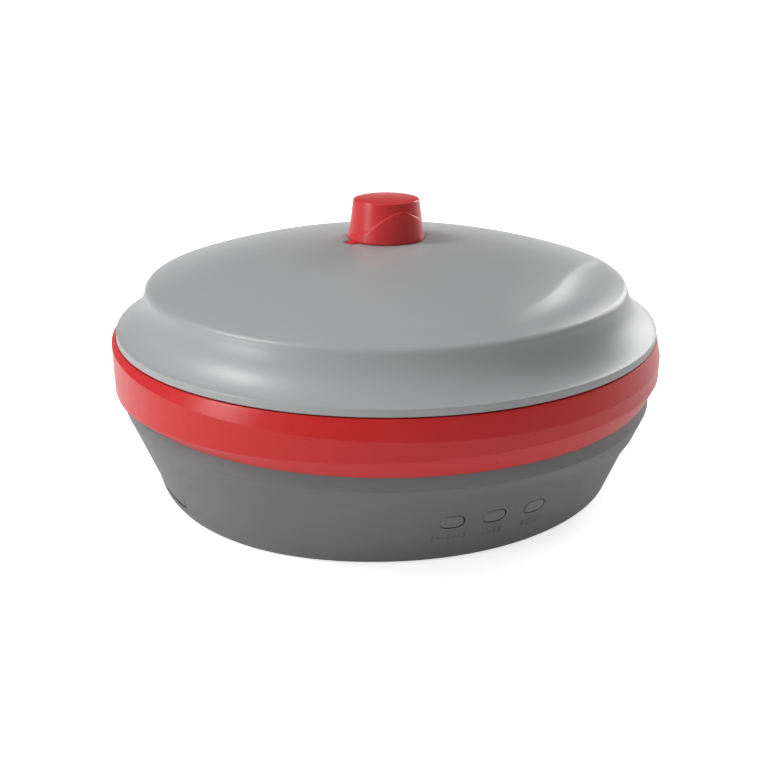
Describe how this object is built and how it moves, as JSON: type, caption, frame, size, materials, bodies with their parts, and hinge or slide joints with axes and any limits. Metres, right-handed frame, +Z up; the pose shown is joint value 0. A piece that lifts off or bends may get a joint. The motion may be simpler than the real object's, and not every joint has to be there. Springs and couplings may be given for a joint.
{
  "type": "gnss receiver",
  "caption": "Round satellite positioning receiver: domed grey radome, red band, dark lower housing with status lenses, and a pull-off cap over the radio antenna socket at the crown.",
  "frame": {"origin": "centre of the footprint, on the surface that the rubber feet stand on", "axes": "+Z up along the housing's axis, -Y towards the front with the status lenses, +X to the viewer's right"},
  "size_m": [0.1628, 0.1628, 0.0826],
  "materials": {
    "radome_plastic": "satin moulded polycarbonate, fine texture",
    "band_plastic": "satin red moulded plastic",
    "housing_plastic": "satin dark grey moulded plastic, fine texture",
    "cap_plastic": "semi-gloss red moulded plastic",
    "lens_plastic": "smoke-tinted polished light pipe",
    "seal_rubber": "black silicone rubber",
    "foot_rubber": "matte black rubber",
    "brass": "turned brass",
    "nickel": "nickel plated brass, satin",
    "contact_gold": "gold plated",
    "ptfe": "white PTFE",
    "screw_steel": "stainless steel",
    "shield_tin": "tin plated sheet",
    "sheet_aluminium": "sheet aluminium",
    "board_laminate": "solder mask on glass laminate",
    "antenna_laminate": "microwave laminate",
    "nylon": "natural nylon",
    "port_plastic": "glass-filled black plastic",
    "lead_jacket": "brown FEP jacket",
    "label_film": "blank polyester film",
    "vent_plastic": "black plastic with breather membrane",
    "led_package": "clear epoxy"
  },
  "bodies": {
    "receiver": {"radome": "radome_plastic", "trim_band": "band_plastic", "lower_housing": "housing_plastic", "floor_plate": "housing_plastic", "port_panel": "housing_plastic", "base_plate": "housing_plastic", "status_lens_1": "lens_plastic", "status_lens_2": "lens_plastic", "status_lens_3": "lens_plastic", "main_seal": "seal_rubber", "port_seal": "seal_rubber", "socket_seal": "seal_rubber", "rubber_feet": "foot_rubber", "pole_insert": "brass", "radio_socket": "nickel", "socket_nut": "nickel", "socket_washer": "nickel", "data_port": "nickel", "socket_contact": "contact_gold", "port_pins": "contact_gold", "coax_plugs": "contact_gold", "socket_insulator": "ptfe", "port_insulator": "port_plastic", "base_screws": "screw_steel", "housing_screws": "screw_steel", "reflector_screws": "screw_steel", "antenna_screws": "screw_steel", "board_spacers": "brass", "antenna_standoffs": "nylon", "reflector_plate": "sheet_aluminium", "antenna_board": "antenna_laminate", "main_board": "board_laminate", "lna_shield": "shield_tin", "receiver_module": "shield_tin", "radio_module": "shield_tin", "power_module": "shield_tin", "status_leds": "led_package", "antenna_coax": "lead_jacket", "radio_coax": "lead_jacket", "rating_plate": "label_film", "vent_plug": "vent_plastic"},
    "cap": {"socket_cap": "cap_plastic"}
  },
  "joints": [
    {"name": "cap_lift", "type": "slide", "parent": "receiver", "child": "cap", "axis": [0, 0, 1], "range_m": [0, 0.03]}
  ]
}
